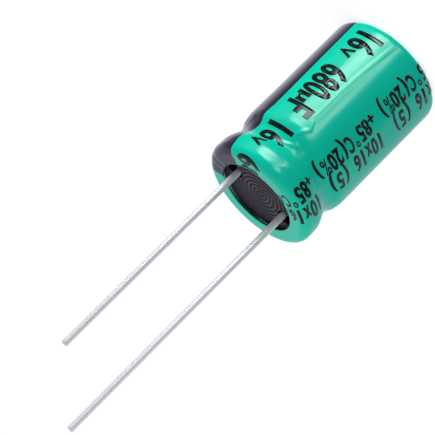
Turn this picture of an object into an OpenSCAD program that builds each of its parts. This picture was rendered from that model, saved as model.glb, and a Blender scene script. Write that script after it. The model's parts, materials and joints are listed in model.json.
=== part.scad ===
// Radial aluminium electrolytic capacitor, standing on its closed end with the leads up.
// Millimetres. The origin is the centre of the closed end's resting plane.
// +Z runs along the can to the leads, and +X from the negative lead to the positive one.

/* [Can] */
// Outer diameter of the aluminium can
can_d = 10; // [9.5:0.1:13]
// Thickness of the can's drawn wall
can_wall = 0.25; // [0.2:0.05:0.35]
// Height of the can, closed end to rolled rim
can_h = 16.38; // [14:0.1:25]
// Outer radius of the turn from the closed end to the wall
base_corner = 0.7; // [0.5:0.05:1.2]
// Width of the scored lines of the pressure vent
vent_line_w = 0.3; // [0.15:0.05:0.5]
// Length of each scored line
vent_line_l = 6.4; // [4:0.2:7]

/* [Bead and rim] */
// Depth of the bead that grips the seal
bead_depth = 0.46; // [0.3:0.02:0.6]
// Radius of the bead's hollow
bead_hollow_r = 1.8; // [1.2:0.1:2]
// Radius of the shoulder between the wall and the bead
bead_shoulder_r = 2.1; // [1.5:0.1:2.4]
// Height of the straight band between the bead and the rim's turn
rim_band = 0.51; // [0.2:0.01:1.5]
// How far the rim stands out past the wall below the bead
rim_flare = 0.05; // [0:0.01:0.15]
// Outer radius of the turn at the top of the rim
rim_corner = 0.6; // [0.5:0.05:0.7]
// Width of the rim's flat, between its two turns
rim_flat_w = 0.2; // [0.05:0.05:0.35]
// Inside radius of the bend that turns the rim's edge into the rubber
rim_edge_r = 0.15; // [0.1:0.01:0.2]
// How far the rim's edge bites below the flat of the rim
rim_bite = 0.35; // [0.25:0.05:0.6]

/* [Sleeve] */
// Thickness of the heat-shrunk sleeve
sleeve_wall = 0.15; // [0.08:0.01:0.2]
// Gap between the sleeve and the can
sleeve_fit = 0.01; // [0.005:0.005:0.03]
// Gap between the wells in the seal and the edge of the sleeve's fold
sleeve_lip_gap = 0.01; // [0.01:0.01:0.2]
// Width of the flat of the sleeve's fold over the closed end
sleeve_base_flat_w = 0.5; // [0.2:0.05:1.5]

/* [Seal] */
// How far the rubber seal reaches into the can past the bead
seal_skirt = 0.6; // [0.4:0.05:2]
// Gap between the rubber and the metal round it
seal_fit = 0.02; // [0.01:0.01:0.04]
// Chamfer round the seal's inner face
seal_chamfer = 0.3; // [0.1:0.05:0.5]
// Diameter of the well round each lead
well_d = 1.5; // [1.3:0.1:1.6]
// Depth of each well
well_depth = 0.55; // [0.3:0.05:0.8]
// How far each well is set outward of its lead
well_shift = 0.24; // [0:0.02:0.24]
// Distance between two moulded rings on the seal's face
ring_pitch = 0.34; // [0.2:0.01:0.5]
// Plain margin between the rings and the rolled rim
ring_margin = 0.4; // [0.3:0.05:1]
// Radius of the innermost ring
ring_first_r = 0.34; // [0.2:0.02:0.4]
// Height of a ring
ring_h = 0.06; // [0.02:0.01:0.08]

/* [Leads] */
// Distance between the two leads
lead_pitch = 5; // [4.5:0.1:5.1]
// Diameter of a tinned lead wire
wire_d = 0.6; // [0.5:0.05:0.8]
// Diameter of a wire at its weld
wire_root_d = 0.5; // [0.4:0.02:0.5]
// Length of the positive lead beyond the seal
positive_l = 25.1; // [15:0.1:35]
// Length of the negative lead beyond the seal
negative_l = 20.5; // [12:0.1:30]
// Length of the rounding at a wire's tip
wire_tip_l = 0.1; // [0.05:0.01:0.15]

/* [Tabs] */
// Diameter of a tab's round stem
stem_d = 1.2; // [1:0.05:1.2]
// Length of the weld between a stem and its wire
weld_l = 0.5; // [0.3:0.05:0.8]
// Depth of the weld's upper end below the seal's face
weld_drop = 0.9; // [0.9:0.05:1.2]
// How far a stem comes out of the seal's inner face
stem_out = 0.3; // [0.2:0.05:0.5]
// Width of a tab's flattened end
tab_w = 1.8; // [1.4:0.1:2.2]
// Thickness of a tab's flattened end
tab_t = 0.3; // [0.2:0.02:0.4]
// How deep a tab reaches into the winding
tab_depth = 6.5; // [3:0.5:7]
// Gap between a tab and the layers beside it
tab_fit = 0.02; // [0.01:0.01:0.05]

/* [Winding] */
// Thickness of the anode foil
anode_t = 0.1; // [0.08:0.01:0.15]
// Thickness of the cathode foil
cathode_t = 0.05; // [0.04:0.01:0.1]
// Thickness of each paper separator
paper_t = 0.05; // [0.04:0.01:0.08]
// Gap between two layers
layer_fit = 0.01; // [0.005:0.005:0.02]
// Radius of the hole that the winding pin leaves
core_r = 0.75; // [0.5:0.05:1.2]
// How far the paper stands past the foil at each end
paper_over = 0.5; // [0.3:0.05:0.8]
// Space between the winding and the seal
head_space = 1.05; // [1:0.05:1.5]
// Gap between the winding and the can's wall
winding_fit = 0.15; // [0.05:0.01:0.3]
// Thickness of the tape round the winding
tape_t = 0.06; // [0.04:0.01:0.1]
// How far the tape stops short of the winding's ends
tape_short = 1.6; // [0.5:0.1:3]

/* [Hidden] */
$fn = 96;

// Steps along one rounded turn of a profile, and along one turn of the winding
turn_steps = 8;
wind_steps = 20;
// A cut runs this far past the face that it opens
past = 0.1;

can_r = can_d / 2;
rim_r = can_r + rim_flare;
neck_r = can_r - bead_depth;
base_z = sleeve_wall + sleeve_fit;
rim_z = base_z + can_h;
sleeve_out = sleeve_fit + sleeve_wall;

// Centres of the arcs that make the wall's profile, as [radius, height]
base_c = [can_r - base_corner, base_z + base_corner];
rim_c = [rim_r - rim_corner, rim_z - rim_corner];
hollow_c = [neck_r + bead_hollow_r, rim_c[1] - rim_band - bead_rise(rim_r)];
low_c = [can_r - bead_shoulder_r, hollow_c[1] - bead_rise(can_r)];
high_c = [rim_r - bead_shoulder_r, hollow_c[1] + bead_rise(rim_r)];
bend_r = can_wall + rim_edge_r;
bend_c = [rim_c[0] - rim_flat_w, rim_z - bend_r];
roll_r = bend_c[0] - bend_r;
bite_z = rim_z - can_wall - rim_bite;

// Seal
seal_z = rim_z - can_wall - seal_fit;
seal_low = low_c[1] - seal_skirt;
seal_h = seal_z - seal_low;
ring_count = floor((roll_r - ring_margin - ring_first_r) / ring_pitch);
seal_skin = -can_wall - seal_fit;

// Leads and tabs
lead_x = lead_pitch / 2;
weld_top = seal_z - weld_drop;
stem_top = weld_top - weld_l;
stem_low = seal_low - stem_out;
wire_full_z = seal_z + ring_h + 0.03;

// Sleeve
lip_r = lead_x + well_shift + well_d / 2 + sleeve_lip_gap;
base_lip_r = base_c[0] - sleeve_base_flat_w;

// Winding, which rests where its rim meets the turn of the can's floor
wind_r = can_r - can_wall - winding_fit - tape_t - layer_fit;
wind_low = base_c[1] - floor_drop(base_corner - can_wall - layer_fit, wind_r - base_c[0]);
wind_top = seal_low - head_space;
layer_pitch = anode_t + cathode_t + 2 * paper_t + 4 * layer_fit;
wind_turns = (wind_r - core_r) / layer_pitch - 1;

// Height from the bead's centre to a shoulder's centre, for a wall of radius r: their arcs touch
function bead_rise(r) =
    let (reach = bead_shoulder_r + bead_hollow_r, across = reach - (r - neck_r))
    sqrt(reach * reach - across * across);

// Depth of an arc of radius r below its centre, a distance outward of that centre
function floor_drop(r, outward) = sqrt(r * r - outward * outward);

// Points along an arc about c, from angle a0 to angle a1
function arc(c, r, a0, a1) = [
    for (i = [0:turn_steps])
        let (a = a0 + (a1 - a0) * i / turn_steps)
        c + r * [cos(a), sin(a)]
];

function angle_to(from, to) = atan2(to[1] - from[1], to[0] - from[0]);

// The wall from below the bead to above it, at a distance outside the can's outer face
function bead_path(out) = concat(
    arc(low_c, bead_shoulder_r + out, 0, angle_to(low_c, hollow_c)),
    arc(hollow_c, bead_hollow_r - out, 180 + angle_to(low_c, hollow_c), 180 + angle_to(high_c, hollow_c)),
    arc(high_c, bead_shoulder_r + out, angle_to(high_c, hollow_c), 0)
);

// The whole wall, from the closed end's turn to the rim's turn
function wall_path(out) = concat(
    arc(base_c, base_corner + out, -90, 0),
    bead_path(out),
    arc(rim_c, rim_corner + out, 0, 90)
);

function backwards(points) = [for (i = [len(points) - 1:-1:0]) points[i]];

// Tops of the rings on the seal's face, from the outermost inwards
ring_points = [
    for (i = [ring_count - 1:-1:0], k = [[1, 0], [0.5, 1], [-0.5, 1], [-1, 0]])
        [ring_first_r + i * ring_pitch + k[0] * ring_pitch / 3, seal_z + k[1] * ring_h]
];

// One layer of the winding, r0 from the axis where the winding starts
module wound_strip(r0, thickness, low, high) {
    last = round(wind_turns * wind_steps);
    inside = [
        for (i = [0:last])
            let (a = 360 * wind_turns * i / last, r = r0 + layer_pitch * a / 360)
            r * [cos(a), sin(a)]
    ];
    outside = [
        for (i = [0:last])
            let (a = 360 * wind_turns * i / last, r = r0 + thickness + layer_pitch * a / 360)
            r * [cos(a), sin(a)]
    ];
    difference() {
        translate([0, 0, low])
            linear_extrude(height = high - low)
                polygon(concat(inside, backwards(outside)));
        for (side = [-1, 1])
            translate([side * lead_x, 0, wind_top - tab_depth])
                tab_slot();
    }
}

// Room for a tab between the layers
module tab_slot() {
    slot_t = tab_t + 2 * tab_fit;
    slot_w = tab_w + 2 * tab_fit;
    translate([-slot_t / 2, -slot_w / 2, -tab_fit])
        cube([slot_t, slot_w, tab_depth + tab_fit + past]);
}

// A wire that widens from its weld to full gauge at the seal's face, and ends a length beyond it
module lead_wire(length) {
    tip_z = seal_z + length;
    rotate_extrude()
        polygon([
            [0, weld_top],
            [wire_root_d / 2, weld_top],
            [wire_d / 2, wire_full_z],
            [wire_d / 2, tip_z - wire_tip_l],
            [wire_d / 2 - wire_tip_l, tip_z],
            [0, tip_z]
        ]);
}

// The weld, the round stem through the seal and the flattened end in the winding
module tab() {
    tab_low = wind_top - tab_depth;
    shoulder_z = stem_low - head_space / 2;
    rotate_extrude()
        polygon([
            [0, stem_low],
            [stem_d / 2, stem_low],
            [stem_d / 2, stem_top],
            [wire_root_d / 2, weld_top],
            [0, weld_top]
        ]);
    translate([-tab_t / 2, 0, 0])
        rotate([90, 0, 90])
            linear_extrude(height = tab_t)
                polygon([
                    [-stem_d / 2 * 0.8, stem_low + stem_out],
                    [-stem_d / 2 * 0.8, stem_low],
                    [-tab_w / 2, shoulder_z],
                    [-tab_w / 2, tab_low],
                    [tab_w / 2, tab_low],
                    [tab_w / 2, shoulder_z],
                    [stem_d / 2 * 0.8, stem_low],
                    [stem_d / 2 * 0.8, stem_low + stem_out]
                ]);
}

module sleeve() {
    color("mediumaquamarine")
        rotate_extrude()
            polygon(concat(
                [[base_lip_r, 0]],
                wall_path(sleeve_out),
                [[lip_r, rim_z + sleeve_out], [lip_r, rim_z + sleeve_fit]],
                backwards(wall_path(sleeve_fit)),
                [[base_lip_r, sleeve_wall]]
            ));
}

module can() {
    color("silver")
        difference() {
            rotate_extrude()
                polygon(concat(
                    [[0, base_z]],
                    wall_path(0),
                    arc(bend_c, bend_r, 90, 180),
                    [[roll_r, bite_z], [roll_r + can_wall, bite_z]],
                    arc(bend_c, rim_edge_r, 180, 90),
                    backwards(wall_path(-can_wall)),
                    [[0, base_z + can_wall]]
                ));
            for (turn = [0, 90])
                translate([0, 0, base_z])
                    rotate([0, 0, 45 + turn])
                        rotate([45, 0, 0])
                            cube([vent_line_l, vent_line_w * sqrt(0.5), vent_line_w * sqrt(0.5)], center = true);
        }
}

module end_seal() {
    color("dimgray")
        difference() {
            rotate_extrude()
                polygon(concat(
                    [[0, seal_low], [can_r + seal_skin - seal_chamfer, seal_low]],
                    [[can_r + seal_skin, seal_low + seal_chamfer]],
                    bead_path(seal_skin),
                    arc(rim_c, rim_corner + seal_skin, 0, 90),
                    arc(bend_c, rim_edge_r - seal_fit, 90, 180),
                    [[roll_r + can_wall + seal_fit, bite_z - seal_fit]],
                    [[roll_r - seal_fit, bite_z - seal_fit], [roll_r - seal_fit, seal_z]],
                    ring_points,
                    [[0, seal_z]]
                ));
            for (side = [-1, 1]) {
                translate([side * lead_x, 0, seal_low - past])
                    cylinder(d = stem_d + 2 * seal_fit, h = seal_h + 2 * past);
                translate([side * (lead_x + well_shift), 0, seal_z - well_depth])
                    cylinder(d = well_d, h = well_depth + ring_h + past);
            }
        }
}

module lead_positive() {
    color("gainsboro")
        translate([lead_x, 0, 0])
            lead_wire(positive_l);
}

module lead_negative() {
    color("gainsboro")
        translate([-lead_x, 0, 0])
            lead_wire(negative_l);
}

module tab_positive() {
    color("lightsteelblue")
        translate([lead_x, 0, 0])
            tab();
}

module tab_negative() {
    color("lightsteelblue")
        translate([-lead_x, 0, 0])
            tab();
}

// The layers from the core outwards are paper, anode, paper, cathode
module separator_inner() {
    color("wheat")
        wound_strip(core_r, paper_t, wind_low, wind_top);
}

module anode_foil() {
    color("slategray")
        wound_strip(core_r + paper_t + layer_fit, anode_t, wind_low + paper_over, wind_top - paper_over);
}

module separator_outer() {
    color("tan")
        wound_strip(core_r + paper_t + anode_t + 2 * layer_fit, paper_t, wind_low, wind_top);
}

module cathode_foil() {
    color("lightslategray")
        wound_strip(
            core_r + 2 * paper_t + anode_t + 3 * layer_fit, cathode_t, wind_low + paper_over, wind_top - paper_over
        );
}

module winding_tape() {
    color("khaki")
        translate([0, 0, wind_low + tape_short])
            difference() {
                cylinder(r = wind_r + layer_fit + tape_t, h = wind_top - wind_low - 2 * tape_short);
                translate([0, 0, -past])
                    cylinder(r = wind_r + layer_fit, h = wind_top - wind_low - 2 * tape_short + 2 * past);
            }
}

sleeve();
can();
end_seal();
lead_positive();
lead_negative();
tab_positive();
tab_negative();
anode_foil();
cathode_foil();
separator_inner();
separator_outer();
winding_tape();
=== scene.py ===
import bisect
import json
import math

import bmesh
import bpy
from mathutils import Matrix, Vector, noise

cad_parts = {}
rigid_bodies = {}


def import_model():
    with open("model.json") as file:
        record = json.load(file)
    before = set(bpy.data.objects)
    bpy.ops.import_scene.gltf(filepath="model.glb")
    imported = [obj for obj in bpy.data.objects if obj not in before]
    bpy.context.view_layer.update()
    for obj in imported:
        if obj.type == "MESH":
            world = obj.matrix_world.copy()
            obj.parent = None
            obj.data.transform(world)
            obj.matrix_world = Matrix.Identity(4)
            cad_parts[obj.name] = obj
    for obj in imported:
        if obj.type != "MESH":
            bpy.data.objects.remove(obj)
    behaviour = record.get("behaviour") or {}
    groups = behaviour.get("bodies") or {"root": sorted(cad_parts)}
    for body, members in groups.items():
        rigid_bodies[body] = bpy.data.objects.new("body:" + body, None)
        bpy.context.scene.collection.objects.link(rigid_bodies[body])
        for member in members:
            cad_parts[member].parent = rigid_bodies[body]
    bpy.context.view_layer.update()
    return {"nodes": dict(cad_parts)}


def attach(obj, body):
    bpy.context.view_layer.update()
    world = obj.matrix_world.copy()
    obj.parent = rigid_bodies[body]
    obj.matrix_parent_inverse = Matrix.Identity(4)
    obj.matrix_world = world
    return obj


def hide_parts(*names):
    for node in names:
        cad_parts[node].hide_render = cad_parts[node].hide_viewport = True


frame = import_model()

# Sizes are in millimetres and angles in degrees. The capacitor stands on its closed end, leads up.
scene = bpy.context.scene
mm = 0.001
tiny = 1e-5  # points closer than this are one point
level = 1e-4  # heights closer than this are the same height

for spare in [thing for thing in scene.objects if thing.name in ("Cube", "Light", "Camera")]:
    bpy.data.objects.remove(spare)


def linked(name, data):
    made = bpy.data.objects.new(name, data)
    scene.collection.objects.link(made)
    return made


# Camera
shot = {
    "position": (8.379, 181.345, 93.397),
    "aim": (-1.173, -1.781, 19.569),
    "roll": -134.769,  # the photograph shows the part lying diagonally
    "lens": 202.82,
    "sensor": 36,
    "clip": (0.01, 10),  # nearest and farthest that it sees, in metres
}


def makeCamera(values):
    eye = linked("camera", bpy.data.cameras.new("camera"))
    eye.data.lens = values["lens"]
    eye.data.sensor_width = values["sensor"]
    eye.data.clip_start, eye.data.clip_end = values["clip"]
    place = Vector(values["position"]) * mm
    back = (place - Vector(values["aim"]) * mm).normalized()
    horizontal = Vector((0, 0, 1)).cross(back).normalized()
    right = Matrix.Rotation(math.radians(values["roll"]), 3, back) @ horizontal
    up = back.cross(right)
    turn = Matrix((right, up, back)).transposed().to_4x4()
    eye.matrix_world = Matrix.Translation(place) @ turn
    scene.camera = eye


makeCamera(shot)
print("camera set")


# Shapes: drawn in millimetres, and made objects in metres
def toObject(shape, name):
    bmesh.ops.scale(shape, vec=(mm, mm, mm), verts=shape.verts)
    mesh = bpy.data.meshes.new(name)
    shape.to_mesh(mesh)
    shape.free()
    return linked(name, mesh)


def smooth(mesh):
    for face in mesh.polygons:
        face.use_smooth = True


def toPiece(shape, name, material, body="root"):
    piece = toObject(shape, name)
    smooth(piece.data)
    piece.data.materials.append(material)
    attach(piece, body)
    return piece


def evaluatedMesh(thing):
    bpy.context.view_layer.update()
    graph = bpy.context.evaluated_depsgraph_get()
    return bpy.data.meshes.new_from_object(thing.evaluated_get(graph))


def lineTo(shape, tip, radius, height):
    tip = bmesh.ops.extrude_vert_indiv(shape, verts=[tip])["verts"][0]
    tip.co = (radius, 0, height)
    return tip


def stepsTo(shape, tip, radius, height, steps):
    start = tip.co.copy()
    for step in range(1, steps + 1):
        share = step / steps
        along = start.x + (radius - start.x) * share, start.z + (height - start.z) * share
        tip = lineTo(shape, tip, *along)
    return tip


def arcAbout(shape, tip, centre, turn, steps):
    spun = bmesh.ops.spin(
        shape, geom=[tip], cent=(centre[0], 0, centre[1]), axis=(0, -1, 0),
        angle=math.radians(turn), steps=steps,
    )
    return [part for part in spun["geom_last"] if isinstance(part, bmesh.types.BMVert)][0]


def turnRound(shape, steps):
    bmesh.ops.spin(
        shape, geom=shape.verts[:] + shape.edges[:], cent=(0, 0, 0), axis=(0, 0, 1),
        angle=2 * math.pi, steps=steps, use_merge=True,
    )
    bmesh.ops.remove_doubles(shape, verts=shape.verts, dist=tiny)
    bmesh.ops.recalc_face_normals(shape, faces=shape.faces)


# The neck and the rim, which the sleeve and the seal both follow: each arc's centre and turn
neck = {
    "shoulderLow": ((2.9, 11.6643), 28.11),
    "hollow": ((6.34, 13.5018), -57.74),
    "shoulderHigh": ((2.95, 15.43), 29.63),
    "rim": ((4.45, 15.94), 90),
}
neckFoot = neck["shoulderLow"][0][1]


def upTheNeck(shape, tip, steps):
    for name, count in zip(("shoulderLow", "hollow", "shoulderHigh"), steps):
        tip = arcAbout(shape, tip, *neck[name], count)
    return tip


# Node trees of materials and of the surround
def newMaterial(name, colour, roughness, metallic=0.0):
    material = bpy.data.materials.new(name)
    material.use_nodes = True
    shader = material.node_tree.nodes["Principled BSDF"]
    shader.inputs["Base Color"].default_value = (*colour, 1)
    shader.inputs["Roughness"].default_value = roughness
    shader.inputs["Metallic"].default_value = metallic
    return material, material.node_tree, shader


def addNode(tree, kind, **settings):
    node = tree.nodes.new(kind)
    for key, value in settings.items():
        setattr(node, key, value)
    return node


def feed(tree, value, socket):  # a value is another node's output or a constant
    if isinstance(value, bpy.types.NodeSocket):
        tree.links.new(value, socket)
    else:
        socket.default_value = value


def calculate(tree, operation, *values):
    node = addNode(tree, "ShaderNodeMath", operation=operation)
    for value, socket in zip(values, node.inputs):
        feed(tree, value, socket)
    return node.outputs[0]


# Grain is one node group, which every finish uses with its own scales
grainInputs = {"Across": 900.0, "Along": 900.0, "Low": 0.3, "High": 0.7}
grainDetail = 3


def makeGrainGroup():
    group = bpy.data.node_groups.new("grain", "ShaderNodeTree")
    for name, usual in grainInputs.items():
        socket = group.interface.new_socket(name, in_out="INPUT", socket_type="NodeSocketFloat")
        socket.default_value = usual
    group.interface.new_socket("Mask", in_out="OUTPUT", socket_type="NodeSocketFloat")
    given, result = addNode(group, "NodeGroupInput"), addNode(group, "NodeGroupOutput")
    place, scale = addNode(group, "ShaderNodeTexCoord"), addNode(group, "ShaderNodeCombineXYZ")
    for axis, name in enumerate(("Across", "Across", "Along")):
        feed(group, given.outputs[name], scale.inputs[axis])
    spread = addNode(group, "ShaderNodeVectorMath", operation="MULTIPLY")
    feed(group, place.outputs["Object"], spread.inputs[0])
    feed(group, scale.outputs[0], spread.inputs[1])
    cloud = addNode(group, "ShaderNodeTexNoise")
    cloud.inputs["Scale"].default_value = 1
    cloud.inputs["Detail"].default_value = grainDetail
    feed(group, spread.outputs[0], cloud.inputs["Vector"])
    mask = addNode(group, "ShaderNodeMapRange")
    feed(group, cloud.outputs["Fac"], mask.inputs["Value"])
    feed(group, given.outputs["Low"], mask.inputs["From Min"])
    feed(group, given.outputs["High"], mask.inputs["From Max"])
    feed(group, mask.outputs[0], result.inputs["Mask"])
    return group


grainGroup = makeGrainGroup()


def grain(tree, across, along, low=grainInputs["Low"], high=grainInputs["High"]):
    node = addNode(tree, "ShaderNodeGroup", node_tree=grainGroup)
    for name, value in zip(grainInputs, (across, along, low, high)):
        node.inputs[name].default_value = value
    return node.outputs["Mask"]


def mixColours(tree, mask, first, second):
    mix = addNode(tree, "ShaderNodeMix", data_type="RGBA")
    feed(tree, mask, mix.inputs[0])
    for index, colour in ((6, first), (7, second)):  # the colour sockets come after the others
        feed(tree, (*colour, 1) if isinstance(colour, tuple) else colour, mix.inputs[index])
    return mix.outputs[2]


def rangeOf(tree, value, fromLow, fromHigh, toLow=0.0, toHigh=1.0, **settings):
    node = addNode(tree, "ShaderNodeMapRange", **settings)
    feed(tree, value, node.inputs["Value"])
    limits = {"From Min": fromLow, "From Max": fromHigh, "To Min": toLow, "To Max": toHigh}
    for name, limit in limits.items():
        feed(tree, limit, node.inputs[name])
    return node.outputs[0]


def objectAxes(tree):
    place, split = addNode(tree, "ShaderNodeTexCoord"), addNode(tree, "ShaderNodeSeparateXYZ")
    feed(tree, place.outputs["Object"], split.inputs[0])
    return split.outputs


def tintOf(colour, amount):
    return tuple(min(part * amount, 1) for part in colour)


def mottled(tree, mask, colour, tints):
    return mixColours(tree, mask, tintOf(colour, tints[0]), tintOf(colour, tints[1]))


def hazeOn(tree, shader, mask, roughness, spread):
    haze = rangeOf(tree, mask, 0, 1, roughness + spread[0], roughness + spread[1])
    feed(tree, haze, shader.inputs["Roughness"])


def bumpOn(tree, shader, mask, depth, strength):
    bump = addNode(tree, "ShaderNodeBump")
    bump.inputs["Strength"].default_value = strength
    bump.inputs["Distance"].default_value = depth * mm
    feed(tree, mask, bump.inputs["Height"])
    feed(tree, bump.outputs["Normal"], shader.inputs["Normal"])


def grainyMaterial(name, colour, roughness, metallic, scales, tints, spread):
    material, tree, shader = newMaterial(name, colour, roughness, metallic)
    mask = grain(tree, *scales)
    feed(tree, mottled(tree, mask, colour, tints), shader.inputs["Base Color"])
    hazeOn(tree, shader, mask, roughness, spread)
    return material, tree, shader, mask


# Sleeve: a tube that is shrunk over the bead and folded over both ends
sleeveShape = {
    "wall": 0.15,
    "lip": 0.04,  # half the thickness at the cut edge round the seal, where the film is stretched
    "radius": 5.16,
    "rimRadius": 5.21,
    "top": 16.7,
    "baseLip": 3.8,
    "seatLip": 3.5,
    "base": ((4.3, 0.86), 90),  # centre and turn of the fold's arc at the closed end
    "around": 360,
    "fine": (94, 109),  # the sharpest fold runs between these angles, where the mesh is finer
    "fineCuts": 2,
    "coarseTo": 10.2,  # height on the body from which its faces are shorter
    "ripple": 0.01,
    "rippleShare": 0.6,  # of the ripple, as its mean and as its swing
    "rippleScale": 0.4,
    "pucker": 0.045,
    "puckerScale": 1.15,
    "puckerShift": (3.1, 0.4, 7.7),
    "puckerLow": -0.25,
    "puckered": [(1.0, 12.9, 1.3), (0.6, 15.9, 0.5), (0.5, 0.3, 0.5)],  # share, height, half width
    "noiseRadius": 5,
    "flatBase": 0.3,  # the ripple fades out below this height, so that the base stays flat
}
sleeveSteps = {
    "base": 3, "fold": 8, "coarse": 16, "body": 20, "neck": (16, 26, 12), "crown": 6, "rim": 14,
    "seat": 8, "lip": 4, "innerRim": 6, "inner": 5,
}
creases = [  # sharp folds: a line of (angle, height) points, with its rise and half width
    ([(96, 1.0), (99, 4.0), (101, 7.0), (101, 10.4), (98.5, 11)], 0.036, 0.2),
    ([(100, 10.7), (96.5, 11.5), (104, 12.65), (95.5, 13.15), (107, 13.6)], 0.047, 0.19),
    ([(122, 15.75), (106, 15.95), (97, 15.7), (85, 15.2)], 0.03, 0.3),
    ([(82, 13.1), (72, 13.75), (60, 13.4)], 0.025, 0.3),
    ([(142, 12.1), (133, 12.9), (138, 13.9)], 0.03, 0.25),
    ([(160, 12.4), (171, 13.2), (163, 14.2)], 0.03, 0.25),
    ([(52, 11.9), (45, 12.8), (50, 13.9), (41, 14.6)], 0.03, 0.25),
    ([(22, 12.2), (14, 13.1), (20, 14.2)], 0.03, 0.25),
    ([(196, 12.0), (204, 12.9), (198, 14.1)], 0.03, 0.25),
    ([(230, 11.7), (223, 12.7), (233, 13.6), (226, 14.6)], 0.03, 0.25),
    ([(262, 12.2), (254, 13.3), (260, 14.3)], 0.03, 0.25),
    ([(293, 11.8), (301, 12.8), (292, 13.9)], 0.03, 0.25),
    ([(327, 12.1), (320, 13.0), (328, 14.0)], 0.03, 0.25),
]
creaseMargin = 1  # a crease is looked for this far above and below its ends
creaseFade = 3  # and this many half widths to its sides


def sleevePath(values, steps):
    shape = bmesh.new()
    wall, lip, top = values["wall"], values["lip"], values["top"]
    (baseRadius, baseHeight), baseTurn = values["base"]
    (rimRadius, rimHeight), rimTurn = neck["rim"]
    tip = shape.verts.new((values["baseLip"], 0, 0))
    tip = stepsTo(shape, tip, baseRadius, 0, steps["base"])
    tip = arcAbout(shape, tip, *values["base"], steps["fold"])
    tip = stepsTo(shape, tip, values["radius"], values["coarseTo"], steps["coarse"])
    tip = stepsTo(shape, tip, values["radius"], neckFoot, steps["body"])
    tip = upTheNeck(shape, tip, steps["neck"])
    tip = stepsTo(shape, tip, values["rimRadius"], rimHeight, steps["crown"])
    tip = arcAbout(shape, tip, *neck["rim"], steps["rim"])
    tip = stepsTo(shape, tip, values["seatLip"] + lip, top, steps["seat"])
    outside = [(vert.co.x, vert.co.z) for vert in shape.verts]
    # the lip, and the inner wall back to the closed end
    tip = arcAbout(shape, tip, (tip.co.x, top - lip), 180, steps["lip"])
    tip = lineTo(shape, tip, rimRadius, top - wall)
    tip = arcAbout(shape, tip, neck["rim"][0], -rimTurn, steps["innerRim"])
    tip = lineTo(shape, tip, tip.co.x, neck["shoulderHigh"][0][1])
    for name in ("shoulderHigh", "hollow", "shoulderLow"):
        centre, turn = neck[name]
        tip = arcAbout(shape, tip, centre, -turn, steps["inner"])
    tip = lineTo(shape, tip, tip.co.x, baseHeight)
    tip = arcAbout(shape, tip, values["base"][0], -baseTurn, steps["inner"])
    tip = lineTo(shape, tip, values["baseLip"], wall)
    shape.verts.ensure_lookup_table()
    shape.edges.new((tip, shape.verts[0]))
    return shape, outside


def near(value, middle, half):
    return math.exp(-(((value - middle) / half) ** 2))


def creaseRise(angle, height):
    rise = 0
    perDegree = math.radians(sleeveShape["radius"])
    for points, lift, half in creases:
        reach = math.inf
        for start, end in zip(points[:-1], points[1:]):
            low, high = min(start[1], end[1]), max(start[1], end[1])
            if low - creaseMargin < height < high + creaseMargin:
                aside = (angle - start[0] + 180) % 360 - 180
                spot = Vector((aside * perDegree, height - start[1]))
                line = Vector(((end[0] - start[0]) * perDegree, end[1] - start[1]))
                share = min(max(spot.dot(line) / line.length_squared, 0), 1)
                reach = min(reach, (spot - line * share).length)
        if reach < half * creaseFade:
            rise = max(rise, lift * near(reach, 0, half))
    return rise


def ripple(angle, height, values=sleeveShape):
    turn = math.radians(angle)
    across = values["noiseRadius"]
    spot = Vector((math.cos(turn) * across, math.sin(turn) * across, height))
    mean = values["rippleShare"]
    rise = values["ripple"] * (mean + mean * noise.noise(spot * values["rippleScale"]))
    shrunk = sum(share * near(height, middle, half) for share, middle, half in values["puckered"])
    folded = noise.noise(spot * values["puckerScale"] + Vector(values["puckerShift"]))
    rise += values["pucker"] * shrunk * max(folded, values["puckerLow"])
    return (rise + creaseRise(angle, height)) * min(max(height / values["flatBase"], 0), 1)


path, trail = sleevePath(sleeveShape, sleeveSteps)
lengths = [0.0]
for first, second in zip(trail[:-1], trail[1:]):
    lengths.append(lengths[-1] + math.dist(first, second))
foldTop = sleeveShape["base"][0][1]
bodyStart = next(reached for reached, point in zip(lengths, trail) if point[1] >= foldTop - level)
bodyStart -= foldTop  # lengths from here on are heights on the body
farEnd = lengths[-1] - bodyStart


def trailNormal(index):
    before, after = trail[max(index - 1, 0)], trail[min(index + 1, len(trail) - 1)]
    along = Vector((after[0] - before[0], after[1] - before[1])).normalized()
    return Vector((along.y, -along.x))


trailNormals = [trailNormal(index) for index in range(len(trail))]


def onSleeve(length, angle, lift):
    length = min(max(length + bodyStart, 0), lengths[-1] - tiny)
    index = bisect.bisect_right(lengths, length) - 1
    share = (length - lengths[index]) / (lengths[index + 1] - lengths[index])
    point = Vector(trail[index]).lerp(Vector(trail[index + 1]), share)
    normal = trailNormals[index].lerp(trailNormals[index + 1], share).normalized()
    point += normal * (ripple(angle, point.y) + lift)
    turn = math.radians(angle)
    return Vector((point.x * math.cos(turn), point.x * math.sin(turn), point.y))


def runsRound(edge):
    first, second = (vert.co for vert in edge.verts)
    return abs(first.z - second.z) < level and abs(first.xy.length - second.xy.length) < level


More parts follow.
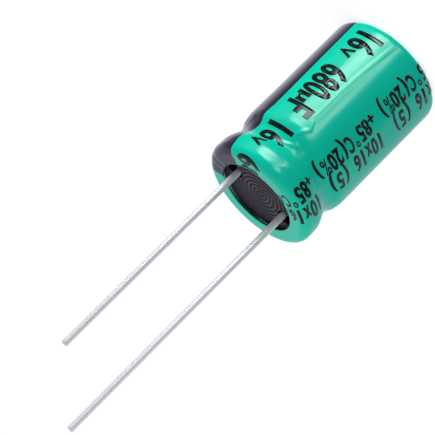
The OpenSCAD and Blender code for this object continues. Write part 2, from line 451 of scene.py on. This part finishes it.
def makeSleeve(values, shape, material):
    outward = shape.verts.layers.float_vector.new("outward")
    shape.verts.ensure_lookup_table()
    for vert, normal in zip(shape.verts, trailNormals):  # the outside comes first in the path
        vert[outward] = (normal.x, 0, normal.y)
    turnRound(shape, values["around"])
    fineFrom, fineTo = values["fine"]
    strip = []
    for edge in shape.edges:
        middle = (edge.verts[0].co + edge.verts[1].co) / 2
        if runsRound(edge) and fineFrom < math.degrees(math.atan2(middle.y, middle.x)) < fineTo:
            strip.append(edge)
    bmesh.ops.subdivide_edges(shape, edges=strip, cuts=values["fineCuts"], use_grid_fill=True)
    for vert in shape.verts:
        normal = vert[outward]
        if normal.length > 0.5:  # the inner wall has none
            turn = math.atan2(vert.co.y, vert.co.x)
            away = Vector((normal.x * math.cos(turn), normal.x * math.sin(turn), normal.z))
            vert.co += away * ripple(math.degrees(turn) % 360, vert.co.z)
    shape.verts.layers.float_vector.remove(outward)
    piece = toPiece(shape, "shrinkSleeve", material)
    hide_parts("sleeve")


sleeveLook = {
    "green": (0.0, 0.695, 0.452),
    "greenTints": (0.95, 1.04),
    "stripe": (0.03, 0.028, 0.042),
    "stripeTints": (0.8, 1.2),
    "stripeHalfAngle": 33.2,
    "stripeSoftness": 0.3,
    "stripeMiddle": 1.0,  # angle of the stripe's middle at the closed end
    "stripeTurn": 0.25,  # and its turn in each millimetre
    "stripeWander": 3.5,  # how far the edges stray where the film is shrunk
    "wanderHeights": (11, 12.5),  # the straying grows between these heights
    "roughness": 0.17,
    "haze": (-0.02, 0.04),
    "bump": (0.02, 0.12),  # depth and strength
}
sleeveGrain = {  # across and along
    "wander": (420, 420), "green": (260, 260), "stripe": (3000, 700), "haze": (700, 250),
    "bump": (900, 900),
}


def makeSleeveMaterial(values, scales):
    material, tree, shader = newMaterial("greenShrinkFilm", values["green"], values["roughness"])
    x, y, z = objectAxes(tree)
    turn = calculate(tree, "ARCTAN2", y, calculate(tree, "MULTIPLY", x, -1.0))
    perMetre = math.radians(values["stripeTurn"]) / mm
    middle = calculate(tree, "MULTIPLY_ADD", z, perMetre, math.radians(values["stripeMiddle"]))
    turn = calculate(tree, "ABSOLUTE", calculate(tree, "SUBTRACT", turn, middle))
    low, high = values["wanderHeights"]
    stray = grain(tree, *scales["wander"])
    stray = calculate(tree, "MULTIPLY", stray, rangeOf(tree, z, low * mm, high * mm))
    turn = calculate(tree, "MULTIPLY_ADD", stray, math.radians(values["stripeWander"]), turn)
    half, soft = values["stripeHalfAngle"], values["stripeSoftness"]
    edge = rangeOf(tree, turn, math.radians(half - soft), math.radians(half + soft))
    green = mottled(tree, grain(tree, *scales["green"]), values["green"], values["greenTints"])
    stripe = mottled(tree, grain(tree, *scales["stripe"]), values["stripe"], values["stripeTints"])
    feed(tree, mixColours(tree, edge, stripe, green), shader.inputs["Base Color"])
    hazeOn(tree, shader, grain(tree, *scales["haze"]), values["roughness"], values["haze"])
    bumpOn(tree, shader, grain(tree, *scales["bump"]), *values["bump"])
    return material


sleeveFilm = makeSleeveMaterial(sleeveLook, sleeveGrain)
makeSleeve(sleeveShape, path, sleeveFilm)
print("sleeve made")


# Print: lines of generic numbers along the tube, which run over its neck and folds
printLines = [
    {
        "text": "16V 680µF ", "small": "Vµ", "repeat": 11.2, "start": 0.95, "angle": 46.5,
        "height": 2.5, "width": 1.0, "bold": 0.1,
    },
    {
        "text": "+85°C(20%) ", "small": "+", "repeat": 7.8, "start": 6.5, "angle": 111,
        "height": 1.4, "width": 0.56, "bold": 0.065,
    },
    {
        "text": "10x16 (5)  ", "small": "", "repeat": 7.8, "start": 6.6, "angle": 131.5,
        "height": 1.58, "width": 0.6, "bold": 0.065,
    },
]
lettering = {
    "cap": 0.682,  # heights and widths of Blender's own font, for a size of 1
    "digit": 0.436,
    "smallShare": 0.52,
    "fine": "%°",  # letters with thinner strokes
    "fineShare": 0.35,
    "fill": 0.95,  # the most of its place that a letter takes up
    "curveSteps": 5,
}
printFilm = {
    "lift": 0.012,
    "thickness": 0.008,
    "cell": 0.12,  # the letters are cut across this often, to bend with the tube
    "margin": 0.05,  # left clear at both ends of the sleeve
    "merge": 0.002,
}


def flatLetter(letter, wide, tall, bold):
    owner = linked("letter", bpy.data.curves.new("letter", "FONT"))
    owner.data.body = letter
    bpy.context.view_layer.update()
    outline = owner.to_curve(bpy.context.evaluated_depsgraph_get()).copy()
    owner.to_curve_clear()
    bpy.data.objects.remove(owner)
    outline.transform(Matrix.Diagonal((wide, tall, 1, 1)))
    outline.dimensions = "2D"
    outline.fill_mode = "BOTH"
    outline.resolution_u = lettering["curveSteps"]
    outline.offset = bold
    owner = linked("flat", outline)
    mesh = evaluatedMesh(owner)
    bpy.data.objects.remove(owner)
    return mesh


def flatLine(line, values):
    whole = bmesh.new()
    pitch = line["repeat"] / len(line["text"])
    wide, tall = line["width"] / values["digit"], line["height"] / values["cap"]
    for index, letter in enumerate(line["text"]):
        bold = line["bold"] * (values["fineShare"] if letter in values["fine"] else 1)
        mesh = flatLetter(letter, wide, tall, bold)
        if not mesh.polygons:
            continue
        across = [vert.co.x for vert in mesh.vertices]
        upwards = [vert.co.y for vert in mesh.vertices]
        left, right, low, high = min(across), max(across), min(upwards), max(upwards)
        squeeze = min(pitch * values["fill"] / (right - left), 1)
        if letter in line["small"]:
            share = min(line["height"] * values["smallShare"] / (high - low), 1)
            settle = Matrix.Translation((0, -low * share, 0))
            mesh.transform(settle @ Matrix.Diagonal((1, share, 1, 1)))
        mesh.transform(
            Matrix.Translation((pitch * (index + 0.5), 0, 0))
            @ Matrix.Diagonal((squeeze, 1, 1, 1))
            @ Matrix.Translation((-(left + right) / 2, 0, 0))
        )
        whole.from_mesh(mesh)
    return whole


def cutAt(shape, place, normal, clear=False):
    bmesh.ops.bisect_plane(
        shape, geom=shape.verts[:] + shape.edges[:] + shape.faces[:], dist=tiny,
        plane_co=place, plane_no=normal, clear_outer=clear,
    )


def cutAcross(shape, axis, places):
    normal = (1, 0, 0) if axis == 0 else (0, 1, 0)
    reach = [vert.co[axis] for vert in shape.verts]
    low, high = min(reach), max(reach)
    for place in places:
        if low < place < high:
            cutAt(shape, [part * place for part in normal], normal)


def layOnSleeve(flat, start, baseline, whole):
    part = bmesh.new()
    part.from_mesh(flat)
    low = printFilm["margin"] - bodyStart - start
    high = farEnd - printFilm["margin"] - start
    for edge, side in ((low, -1), (high, 1)):
        cutAt(part, (edge, 0, 0), (side, 0, 0), True)
    if part.faces:
        cutAcross(part, 0, [reached - bodyStart - start for reached in lengths])
        bmesh.ops.remove_doubles(part, verts=part.verts, dist=printFilm["merge"])
        bmesh.ops.dissolve_degenerate(part, edges=part.edges, dist=printFilm["merge"])
        for vert in part.verts:
            angle = 180 - baseline - math.degrees(vert.co.y / sleeveShape["radius"])
            vert.co = onSleeve(start + vert.co.x, angle, printFilm["lift"])
        done = bpy.data.meshes.new("part")
        part.to_mesh(done)
        whole.from_mesh(done)
    part.free()


def flatMesh(shape):
    reach = [vert.co.y for vert in shape.verts]
    low, cell = min(reach), printFilm["cell"]
    count = math.ceil((max(reach) - low) / cell)
    cutAcross(shape, 1, [low + cell * (step + 0.5) for step in range(count)])
    mesh = bpy.data.meshes.new("flat")
    shape.to_mesh(mesh)
    shape.free()
    return mesh


def repeatOnSleeve(flat, values, repeats, whole):
    mesh = flatMesh(flat)
    for repeat in repeats:
        layOnSleeve(mesh, values["start"] + repeat * values["repeat"], values["angle"], whole)


def inkPiece(whole, name, material):
    piece = toPiece(whole, name, material)
    film = piece.modifiers.new("ink", "SOLIDIFY")
    film.thickness = printFilm["thickness"] * mm
    film.offset = -1


def makePrint(lines, material):
    whole = bmesh.new()
    for line in lines:
        repeatOnSleeve(flatLine(line, lettering), line, (-1, 0, 1), whole)
    inkPiece(whole, "ratingPrint", material)


# Marks in the stripe: long minus signs drawn as outlines
minusMarks = {
    "length": 3.6, "width": 1.17, "line": 0.1, "corner": 0.3, "cornerSteps": 4,
    "repeat": 5.6, "start": 14.7, "angle": -9.6,
}


def makeMarks(values, material):
    outline = bmesh.new()
    long, wide = values["length"], values["width"]
    bmesh.ops.create_grid(outline, x_segments=1, y_segments=1, size=0.5)
    bmesh.ops.scale(outline, vec=(long, wide, 1), verts=outline.verts)
    bmesh.ops.translate(outline, vec=(long / 2, wide / 2, 0), verts=outline.verts)
    bmesh.ops.bevel(
        outline, geom=outline.verts[:], offset=values["corner"], affect="VERTICES",
        segments=values["cornerSteps"], profile=0.5, material=-1,
    )
    inner = outline.faces[:]
    bmesh.ops.inset_region(
        outline, faces=inner, thickness=values["line"], use_boundary=True, use_even_offset=True
    )
    bmesh.ops.delete(outline, geom=inner, context="FACES")
    whole = bmesh.new()
    repeatOnSleeve(outline, values, (-2, -1, 0), whole)
    inkPiece(whole, "minusMarks", material)


inkLook = {
    "black": (0.008, 0.014, 0.014),
    "pale": (0.34, 0.44, 0.44),
    "tints": (1.9, 1),
    "roughness": 0.15,
    "haze": (0.06, 0),
    "grain": (2600, 2600, 0.25, 0.6),  # across, along, and the cloud's low and high limits
    "bump": (0.01, 0.1),
}


def makeInk(name, colour, values):
    material, tree, shader, mask = grainyMaterial(
        name, colour, values["roughness"], 0, values["grain"], values["tints"], values["haze"]
    )
    bumpOn(tree, shader, mask, *values["bump"])
    return material


makePrint(printLines, makeInk("blackInk", inkLook["black"], inkLook))
makeMarks(minusMarks, makeInk("paleInk", inkLook["pale"], inkLook))
print("print laid on the sleeve")


# Leads
leadShape = {
    "radius": 0.3,
    "rootRadius": 0.25,
    "root": 15.4,
    "full": 16.36,  # from this height on the wire has its full gauge
    "tipLength": 0.1,
    "tipSteps": 4,
    "around": 48,
}
leads = {
    "lead_positive": {"x": 2.5, "tip": 41.37},
    "lead_negative": {"x": -2.5, "tip": 36.77},
}


def makeLead(name, place, values, material):
    shape = bmesh.new()
    radius, rounded = values["radius"], values["tipLength"]
    shoulder = place["tip"] - rounded
    tip = shape.verts.new((0, 0, values["root"]))
    tip = lineTo(shape, tip, values["rootRadius"], values["root"])
    tip = lineTo(shape, tip, radius, values["full"])
    tip = lineTo(shape, tip, radius, shoulder)
    tip = arcAbout(shape, tip, (radius - rounded, shoulder), 90, values["tipSteps"])
    lineTo(shape, tip, 0, place["tip"])
    turnRound(shape, values["around"])
    bmesh.ops.translate(shape, vec=(place["x"], 0, 0), verts=shape.verts)
    piece = toPiece(shape, name + "_wire", material)
    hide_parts(name)


wireLook = {
    "colour": (0.97, 0.97, 0.972),
    "tints": (0.95, 1),
    "metallic": 0.3,
    "roughness": 0.4,
    "haze": (0.04, -0.02),
    "grain": (2600, 60),
}


def makeWireMaterial(values):
    return grainyMaterial(
        "tinnedWire", values["colour"], values["roughness"], values["metallic"],
        values["grain"], values["tints"], values["haze"],
    )[0]


wireMetal = makeWireMaterial(wireLook)
for leadName, leadPlace in leads.items():
    makeLead(leadName, leadPlace, leadShape, wireMetal)
print("leads made")


# Seal: moulded rings on its face, a well round each lead, and a bore for each tab
sealShape = {
    "low": 11.0643,
    "chamfer": 0.3,
    "radius": 4.73,
    "face": 16.27,
    "rimReach": 0.33,  # how far the seal stands out from the centre of the rim's arc
    "bend": ((4.25, 16.14), 90),  # centre and turn of the arc at the rim's inner edge
    "slotLow": 15.92,
    "faceRadius": 3.83,
    "faceEdge": (0.08, 0.02),  # width and drop
    "grooves": [3.46, 3.06, 2.66, 2.26, 1.86, 1.46, 1.06, 0.66, 0.3],
    "grooveHalf": 0.1,
    "grooveDepth": 0.09,
    "wander": 0.1,  # how far the grooves stray from circles
    "wanderScale": 0.55,
    "wanderSeed": 4.2,
    "wanderRing": (0.05, 3.6),
    "wellX": 2.74,
    "wellRadius": 0.75,
    "wellDepth": 0.55,
    "boreX": 2.5,
    "boreRadius": 0.62,
    "boreEnd": 0.1,  # below the face
    "sharp": 38,  # edges that turn more than this stay sharp
}
sealSteps = {"around": 192, "neck": (6, 10, 6), "rim": 6, "bend": 4, "groove": 4, "bore": 64}
boreTwist = 2  # keeps the corners of the bores off those of the seal


def bore(x, radius, low, high):
    shape = bmesh.new()
    twist = Matrix.Rotation(math.radians(boreTwist), 4, "Z")
    bmesh.ops.create_cone(
        shape, cap_ends=True, segments=sealSteps["bore"], radius1=radius, radius2=radius,
        depth=high - low, matrix=Matrix.Translation((x, 0, (low + high) / 2)) @ twist,
    )
    return toObject(shape, "cutter")


def cutOut(piece, cutters):
    for cutter in cutters:
        cut = piece.modifiers.new("cut", "BOOLEAN")
        cut.object = cutter
        cut.operation = "DIFFERENCE"
        cut.solver = "EXACT"
    mesh = evaluatedMesh(piece)
    piece.modifiers.clear()
    piece.data = mesh
    for cutter in cutters:
        bpy.data.objects.remove(cutter)


def makeSeal(values, steps, material):
    shape = bmesh.new()
    low, face, drop = values["low"], values["face"], values["grooveDepth"]
    rimRadius, rimHeight = neck["rim"][0]
    tip = shape.verts.new((0, 0, low))
    tip = lineTo(shape, tip, values["radius"] - values["chamfer"], low)
    tip = lineTo(shape, tip, values["radius"], low + values["chamfer"])
    tip = lineTo(shape, tip, values["radius"], neckFoot)
    tip = upTheNeck(shape, tip, steps["neck"])
    tip = lineTo(shape, tip, rimRadius + values["rimReach"], rimHeight)
    tip = arcAbout(shape, tip, *neck["rim"], steps["rim"])
    tip = lineTo(shape, tip, values["bend"][0][0], face)
    tip = arcAbout(shape, tip, *values["bend"], steps["bend"])
    tip = lineTo(shape, tip, tip.co.x, values["slotLow"])
    tip = lineTo(shape, tip, values["faceRadius"], values["slotLow"])
    tip = lineTo(shape, tip, values["faceRadius"], face - drop)
    edgeWidth, edgeDrop = values["faceEdge"]
    tip = lineTo(shape, tip, values["faceRadius"] - edgeWidth, face - edgeDrop)
    count = steps["groove"]
    for middle in values["grooves"]:
        for step in range(-count, count + 1):
            depth = drop * (0.5 + 0.5 * math.cos(math.pi * step / count))
            tip = lineTo(shape, tip, middle - step / count * values["grooveHalf"], face - depth)
    lineTo(shape, tip, 0, face)
    turnRound(shape, steps["around"])
    inner, outer = values["wanderRing"]
    scale, seed = values["wanderScale"], values["wanderSeed"]
    for vert in shape.verts:
        if vert.co.z > face - drop - level and inner < vert.co.xy.length < outer:
            out = vert.co.xy.normalized()
            push = noise.noise(Vector((vert.co.x * scale, vert.co.y * scale, seed)))
            push *= values["wander"]
            vert.co.x += out.x * push
            vert.co.y += out.y * push
    piece = toPiece(shape, "ringedSeal", material)
    wellLow, boreHigh = face - values["wellDepth"], face - values["boreEnd"]
    cutters = []
    for side in (-1, 1):
        cutters.append(bore(side * values["wellX"], values["wellRadius"], wellLow, face + 1))
        cutters.append(bore(side * values["boreX"], values["boreRadius"], low - 1, boreHigh))
    cutOut(piece, cutters)
    smooth(piece.data)
    piece.data.set_sharp_from_angle(angle=math.radians(values["sharp"]))
    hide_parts("end_seal")


sealLook = {
    "land": (0.042, 0.037, 0.052),
    "landTints": (0.85, 1.2),
    # painted shade: this near-black colour darkens the grooves' floors, the wells round the leads
    # and the slot by the sleeve, where shade falls
    "groove": (0.002, 0.0015, 0.003),
    "grooveShadeHeights": (16.2, 16.26),  # painted shade: below these heights the seal is near black, and it turns to the land's colour between them
    "roughness": 0.45,
    "grain": (1800, 1800),
    "bumpGrain": (7000, 7000),
    "bump": (0.01, 0.35),
}


def makeRubber(values):
    material, tree, shader = newMaterial("blackRubber", values["land"], values["roughness"])
    low, high = values["grooveShadeHeights"]
    # painted shade in the recesses: near black below the lands, the rubber's own land colour above
    outOfGrooveShade = rangeOf(tree, objectAxes(tree)[2], low * mm, high * mm)
    land = mottled(tree, grain(tree, *values["grain"]), values["land"], values["landTints"])
    feed(tree, mixColours(tree, outOfGrooveShade, values["groove"], land), shader.inputs["Base Color"])
    bumpOn(tree, shader, grain(tree, *values["bumpGrain"]), *values["bump"])
    return material


makeSeal(sealShape, sealSteps, makeRubber(sealLook))
print("seal made")


# CAD nodes that stay: the can, the tabs and the winding inside it
innerLooks = {
    # colour, roughness, metallic, grain across and along, depth of the grain in millimetres
    "can": ((0.78, 0.79, 0.8), 0.3, 1.0, (5200, 260), 0.004),
    "tab_positive": ((0.75, 0.76, 0.78), 0.34, 1.0, (6500, 400), 0.004),
    "tab_negative": ((0.75, 0.76, 0.78), 0.34, 1.0, (6500, 400), 0.004),
    "anode_foil": ((0.45, 0.46, 0.47), 0.62, 0.9, (16000, 16000), 0.003),
    "cathode_foil": ((0.6, 0.61, 0.62), 0.55, 0.9, (12000, 12000), 0.002),
    "separator_inner": ((0.72, 0.6, 0.42), 0.75, 0.0, (2600, 1500), 0.012),
    "separator_outer": ((0.72, 0.6, 0.42), 0.75, 0.0, (2600, 1500), 0.012),
    "winding_tape": ((0.75, 0.62, 0.3), 0.25, 0.0, (900, 900), 0.004),
}
innerGrain = {"tints": (0.88, 1.07), "haze": (0.06, -0.05), "strength": 0.6}


def dress(name, colour, roughness, metallic, scales, depth):
    material, tree, shader, mask = grainyMaterial(
        name + "_finish", colour, roughness, metallic, scales,
        innerGrain["tints"], innerGrain["haze"],
    )
    bumpOn(tree, shader, mask, depth, innerGrain["strength"])
    mesh = frame["nodes"][name].data
    mesh.materials.clear()
    mesh.materials.append(material)


for nodeName, look in innerLooks.items():
    dress(nodeName, *look)
print("CAD nodes dressed")


# Studio: soft lamps, a white surround, a pale card and a pale floor
lamps = [
    # name, azimuth, elevation, distance, width, height, radiance, lights surfaces, shows in gloss
    ("key", 164, -20, 300, 180, 200, 6.6, True, False),
    ("softbox", 134, -32, 250, 70, 60, 3.7, False, True),
    ("softboxEdge", 134, -32, 260, 130, 95, 3.2, False, True),
    ("wide", 121, -28, 265, 250, 110, 1.7, False, True),
    ("strip", 97, -25, 250, 34, 260, 2.9, False, True),
    ("top", 60, 70, 300, 240, 240, 0.5, True, False),
]
lampAim = 10  # height that the lamps point at


def makeLamp(name, azimuth, elevation, distance, width, height, radiance, lights, shows):
    data = bpy.data.lights.new(name, "AREA")
    data.shape = "RECTANGLE"
    data.size, data.size_y = width * mm, height * mm
    data.energy = radiance * math.pi * width * height * mm * mm
    lamp = linked(name, data)
    turn, lean = math.radians(azimuth), math.radians(elevation)
    flat = math.cos(lean)
    way = Vector((math.cos(turn) * flat, math.sin(turn) * flat, math.sin(lean)))
    lamp.location = Vector((0, 0, lampAim * mm)) + way * distance * mm
    lamp.rotation_mode = "QUATERNION"
    lamp.rotation_quaternion = way.to_track_quat("Z", "Y")
    lamp.visible_camera = False
    lamp.visible_diffuse = lights
    lamp.visible_glossy = shows


surround = {
    "towards": (0.471, -0.867, 0.167),  # the pale backdrop, as gloss and metal show it
    "fade": (-0.12, 0.3),
    "near": 0.88,  # its level on the stripe's side, and on the other
    "far": 0.39,
    "turnover": (-0.15, 0.45),
    "lift": -0.5,
    "lowest": 0.3,
    "dark": 0.002,
    "tint": (0.93, 0.95, 1.11),
    "fill": 0.44,
    "fillTint": (0.94, 0.98, 1.1),
}


def makeSurround(values):
    world = bpy.data.worlds.new("surround")
    scene.world = world
    world.use_nodes = True
    tree = world.node_tree
    ray, place = addNode(tree, "ShaderNodeLightPath"), addNode(tree, "ShaderNodeTexCoord")
    axes = addNode(tree, "ShaderNodeSeparateXYZ")
    feed(tree, place.outputs["Generated"], axes.inputs[0])
    side = addNode(tree, "ShaderNodeVectorMath", operation="DOT_PRODUCT")
    feed(tree, place.outputs["Generated"], side.inputs[0])
    side.inputs[1].default_value = Vector(values["towards"]).normalized()
    soft = {"interpolation_type": "SMOOTHSTEP"}
    levels = values["near"], values["far"]
    bright = rangeOf(tree, axes.outputs[0], *values["turnover"], *levels, **soft)
    bright = calculate(tree, "MULTIPLY_ADD", axes.outputs[2], values["lift"], bright)
    bright = calculate(tree, "MAXIMUM", bright, values["lowest"])
    fade = rangeOf(tree, side.outputs["Value"], *values["fade"], values["dark"], bright, **soft)
    shown = addNode(tree, "ShaderNodeVectorMath", operation="SCALE")
    shown.inputs[0].default_value = values["tint"]
    feed(tree, fade, shown.inputs["Scale"])
    gloss = ray.outputs["Is Glossy Ray"], ray.outputs["Is Transmission Ray"]
    gloss = calculate(tree, "MAXIMUM", *gloss)
    fill = tintOf(values["fillTint"], values["fill"])
    seen = mixColours(tree, gloss, fill, shown.outputs[0])
    seen = mixColours(tree, ray.outputs["Is Camera Ray"], seen, (1, 1, 1))
    feed(tree, seen, tree.nodes["Background"].inputs["Color"])


def glowing(name, values):
    material, tree, shader = newMaterial(name, values["shade"], values["roughness"])
    shader.inputs["Specular IOR Level"].default_value = 0
    shader.inputs["Emission Color"].default_value = (1, 1, 1, 1)
    shader.inputs["Emission Strength"].default_value = values["glow"]
    return material


def makeSheet(name, size, place, material):
    shape = bmesh.new()
    bmesh.ops.create_grid(shape, x_segments=1, y_segments=1, size=0.5)
    bmesh.ops.scale(shape, vec=(*size, 1), verts=shape.verts)
    bmesh.ops.transform(shape, matrix=place, verts=shape.verts)
    sheet = toObject(shape, name)
    sheet.data.materials.append(material)
    sheet.visible_glossy = False
    sheet.visible_shadow = False
    return sheet


# A pale card beside the leads lightens their far side
cardLook = {
    "azimuth": -20, "distance": 15, "height": 40, "size": (60, 36),
    "shade": (0, 0, 0), "roughness": 1, "glow": 1.15,
}


def makeCard(values):
    standing = Matrix.Rotation(math.pi / 2, 4, "Z") @ Matrix.Rotation(math.pi / 2, 4, "X")
    moved = Matrix.Translation((values["distance"], 0, values["height"])) @ standing
    place = Matrix.Rotation(math.radians(values["azimuth"]), 4, "Z") @ moved
    material = glowing("paleCard", values)
    material.cycles.emission_sampling = "NONE"  # it isn't sampled as a lamp
    card = makeSheet("card", values["size"], place, material)
    card.visible_camera = False


floorLook = {"size": (1200, 1200), "shade": (0.62, 0.6, 0.57), "roughness": 0.8, "glow": 0.76}


def makeFloor(values):
    floor = makeSheet("floor", values["size"], Matrix(), glowing("paleFloor", values))
    floor.visible_diffuse = False


for lamp in lamps:
    makeLamp(*lamp)
makeSurround(surround)
makeCard(cardLook)
makeFloor(floorLook)
print("studio lit")

scene.view_settings.view_transform = "Standard"
